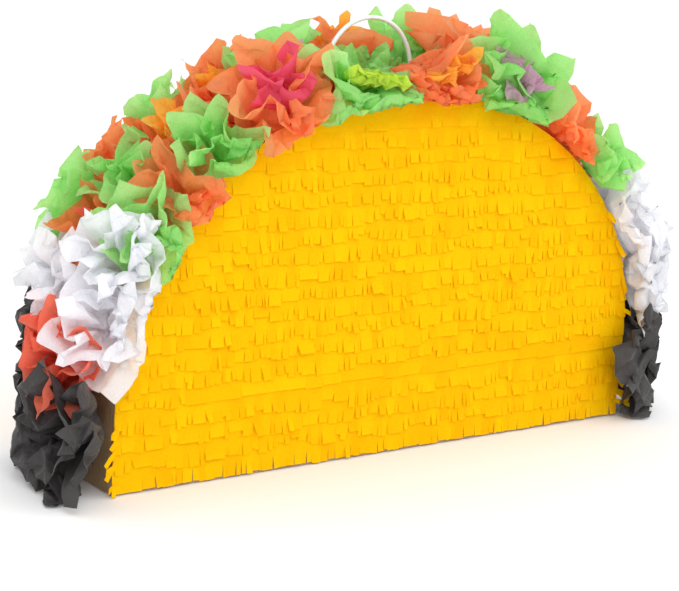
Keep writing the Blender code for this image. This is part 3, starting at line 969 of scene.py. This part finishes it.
def lane_flowers():
    """Every square of tissue round the rim. A lane's words give each flower's distance along the rim in
    millimetres, its colour, and the colour of a smaller square inside it."""
    apex = RIM[4][-1] / 2
    tufts = {name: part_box(name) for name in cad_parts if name.startswith("tuft_")}
    made = []
    for lane, words in LANES.items():
        rng = np.random.default_rng([SEED, len(lane)])
        stops = [word.split() for word in words.split(",")]
        places = [float(place) * MM for place, _ in stops]
        ends = [places[0] - USUAL_ROOM] + places + [places[-1] + USUAL_ROOM]
        for k, (_, word) in enumerate(stops):
            which = (lane, k + 1)
            outer, _, inner = word.partition(":")
            crumpled = outer in CRUMPLED
            distance = places[k] + rng.uniform(-PLACE_SPREAD, PLACE_SPREAD)
            room = (ends[k + 2] - ends[k]) / 2
            y = LANE_Y[lane] + rng.uniform(-Y_SPREAD, Y_SPREAD)
            lean = LANE_LEAN[lane] + rng.uniform(-LEAN_SPREAD, LEAN_SPREAD)
            sway = rng.uniform(-SWAY_SPREAD, SWAY_SPREAD)
            turn = rng.uniform(0, 90)
            flare = rng.uniform(*FLARE)
            tight = rng.uniform(*TIGHTNESS)
            size = SQUARE * rng.uniform(*SQUARE_SPREAD) * np.clip(room / USUAL_ROOM, *ROOM_SHARE)
            place, normal, _ = rim_at(distance)
            node = nearest_tuft(tufts, place + normal * TUFT_MIDDLE + Vector((0, y, 0)), outer)
            if lane == "front" and abs(distance - apex) < NEAR_TOP:
                lean += TOP_LEAN
                y -= TOP_SHIFT
            if crumpled:
                size *= CRUMPLED_SIZE
            if which in SET_APART:
                y, lean, size = SET_APART[which]
            if which in SMALLER:
                size *= SMALLER_BY
            if which == UNDER_LOOP:
                y, lean, sway, size = 0, 0, 0, SMALL_SQUARE
            if lane.endswith("loop"):
                size = SMALL_SQUARE
            name = f"tissue_{lane}_{k + 1:02d}_{outer}"
            wide = flare * (CRUMPLED_FLARE if crumpled else 1.0)
            rough = CRUMPLED_ROUGH if crumpled else USUAL_ROUGH
            where = {"distance": distance, "y": y, "lean": lean, "sway": sway, "node": node}
            made.append(Flower(
                name, outer, size=size, flare=wide, tightness=tight, pleats=7 if outer == "white" else 4,
                rough=rough, turn=turn, **where,
            ))
            if which != UNDER_LOOP:
                made.append(Flower(
                    name + "_under", outer, size=size * UNDER_SHARE, flare=min(95, wide * 1.25),
                    tightness=tight * 1.3, pleats=5, rough=rough, turn=turn + 45, **where,
                ))
            if inner:
                made.append(Flower(
                    name + "_inner", inner, size=size * INNER_SHARE[inner], flare=flare * 0.72,
                    tightness=tight * 0.7, pleats=4, rough=INNER_ROUGH, turn=turn + 45,
                    lift=INNER_LIFT, **where,
                ))
    return made


def fold_creases(mesh):
    """Creases the edges that turn sharply, so that subdividing leaves them crisp."""
    normals = np.empty(len(mesh.polygons) * 3)
    mesh.polygons.foreach_get("normal", normals)
    normals = normals.reshape(-1, 3)
    sides = {}
    for polygon in mesh.polygons:
        for key in polygon.edge_keys:
            sides.setdefault(key, []).append(polygon.index)
    attribute = mesh.attributes.new("crease_edge", "FLOAT", "EDGE")
    values = np.zeros(len(mesh.edges))
    for edge in mesh.edges:
        pair = sides[tuple(sorted(edge.vertices))]
        if len(pair) == 2:
            turn = math.degrees(math.acos(np.clip(normals[pair[0]] @ normals[pair[1]], -1, 1)))
            values[edge.index] = np.clip((turn - SOFT_FOLD) / (HARD_FOLD - SOFT_FOLD), 0, 1)
    attribute.data.foreach_set("value", values.astype(np.float32))


def soften(made, cloud, levels, depth):
    """Rounds a square between its creases and crumples it a little."""
    soft = made.modifiers.new("soften", "SUBSURF")
    soft.levels = levels
    soft.render_levels = levels
    soft.boundary_smooth = "PRESERVE_CORNERS"
    crumple = made.modifiers.new("crumple", "DISPLACE")
    crumple.texture = cloud
    crumple.texture_coords = "LOCAL"
    crumple.mid_level = 0.5
    crumple.strength = depth


def tissue_flowers(looks):
    """The squares of tissue round the rim. A tuft that no flower stands for is hidden."""
    flowers = lane_flowers()
    shapes = relax(flowers, ROUNDS)
    cloud = bpy.data.textures.new("crumple", "CLOUDS")
    cloud.noise_scale = CRUMPLE_SCALE
    cloud.noise_depth = 2
    used = set()
    for flower, points in zip(flowers, shapes):
        # Painted shade: each square's tone runs towards the shaded colour at its gathered middle and towards
        # the lit one at its outer parts, on top of a random tone for the square.
        middle = np.hypot(*flower.flat.T) / (flower.size * 0.7)
        tones_and_shade = np.clip(flower.tone * 0.6 + 0.4 * middle, 0, 1)
        made = mesh_object(flower.name, points, flower.triangles, looks[flower.colour], tones_and_shade)
        fold_creases(made.data)
        levels = 1 if flower.name.endswith("_under") else 2
        soften(made, cloud, levels, CRUMPLED_DEPTH if flower.rough == CRUMPLED_ROUGH else USUAL_DEPTH)
        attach(made, "shell")
        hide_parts(flower.node)
        used.add(flower.node)
    for node in sorted(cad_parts):
        if node.startswith("tuft_") and node not in used:
            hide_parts(node)


# ---------------------------------------------------------------- stage and lights

FLOOR_SIZE, FLOOR_Z = 8.0, -0.0004
STUDIO_LIGHT = 1.12
LIGHT_AIM = (0, 0, 0.1)


def add_stage():
    """A plain pale floor."""
    corners = [(x * FLOOR_SIZE, y * FLOOR_SIZE, FLOOR_Z) for x, y in ((-1, -1), (1, -1), (1, 1), (-1, 1))]
    floor = mesh_object("floor", corners, [(0, 1, 2, 3)], floor_look(), smooth=False)


def area_light(name, place, size, power):
    """A square soft light aimed at the pinata."""
    data = bpy.data.lights.new(name, "AREA")
    data.size = size
    data.energy = power
    light = bpy.data.objects.new(name, data)
    light.location = place
    light.rotation_euler = (Vector(LIGHT_AIM) - Vector(place)).to_track_quat("-Z", "Y").to_euler()
    bpy.context.scene.collection.objects.link(light)


def add_lights():
    """Soft studio light from all round, with a key from the front left and a fill from the front right."""
    world = bpy.data.worlds.new("studio")
    world.use_nodes = True
    background = world.node_tree.nodes["Background"]
    background.inputs["Color"].default_value = (1, 1, 1, 1)
    background.inputs["Strength"].default_value = STUDIO_LIGHT
    bpy.context.scene.world = world
    area_light("key", (-1.0, -1.6, 1.7), size=1.0, power=15)
    area_light("fill", (1.6, -1.2, 1.0), size=1.4, power=8)
    bpy.context.scene.view_settings.view_transform = "Standard"


def frame_looks(card, tape, cord):
    """Better materials on the CAD nodes that stay."""
    for name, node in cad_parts.items():
        if name.startswith("seam_tape"):
            look = tape
        elif name.startswith("loop_knot"):
            look = cord
        elif name in ("front_panel", "back_panel", "base_panel", "rim_band", "fill_flap", "hanger_patch"):
            look = card
        else:
            continue
        for slot in node.material_slots:
            slot.material = look


# ---------------------------------------------------------------- whole

add_camera()
cord_look = loop_look()
hanging_loop(cord_look)
frame_looks(card_look(), tape_look(), cord_look)
# Each tissue gets a lit colour and then a shaded colour of the same paper: painted light and shade.
yellow = tissue(
    "yellow_tissue", (1.0, 0.60, 0.002), (0.97, 0.49, 0.001), 0.20,
    wrinkle=0.12, wrinkle_size=160.0, shine=0.03, sheen=0.0,
)
front_fringe(yellow)
back_fringe(yellow)
tissue_flowers({
    "orange": tissue("orange_tissue", (1.0, 0.45, 0.21), (1.0, 0.26, 0.05), 0.62),
    "green": tissue("green_tissue", (0.58, 0.95, 0.38), (0.29, 0.77, 0.17), 0.60),
    "white": tissue(
        "white_tissue", (0.96, 0.965, 0.99), (0.91, 0.915, 0.96), 0.46, wrinkle=0.35, wrinkle_size=70.0,
    ),
    "coral": tissue("coral_tissue", (1.0, 0.27, 0.17), (0.94, 0.14, 0.07), 0.58),
    "black": tissue("black_tissue", (0.062, 0.057, 0.056), (0.028, 0.026, 0.027), 0.12, roughness=0.55),
    "pink": tissue("pink_tissue", (0.94, 0.20, 0.30), (0.80, 0.06, 0.14), 0.58),
    "lime": tissue("lime_tissue", (0.80, 0.92, 0.14), (0.55, 0.80, 0.06), 0.58),
    "mauve": tissue("mauve_tissue", (0.80, 0.56, 0.68), (0.60, 0.34, 0.47), 0.58),
    "amber": tissue("amber_tissue", (1.0, 0.60, 0.10), (1.0, 0.40, 0.03), 0.58),
})
add_stage()
add_lights()
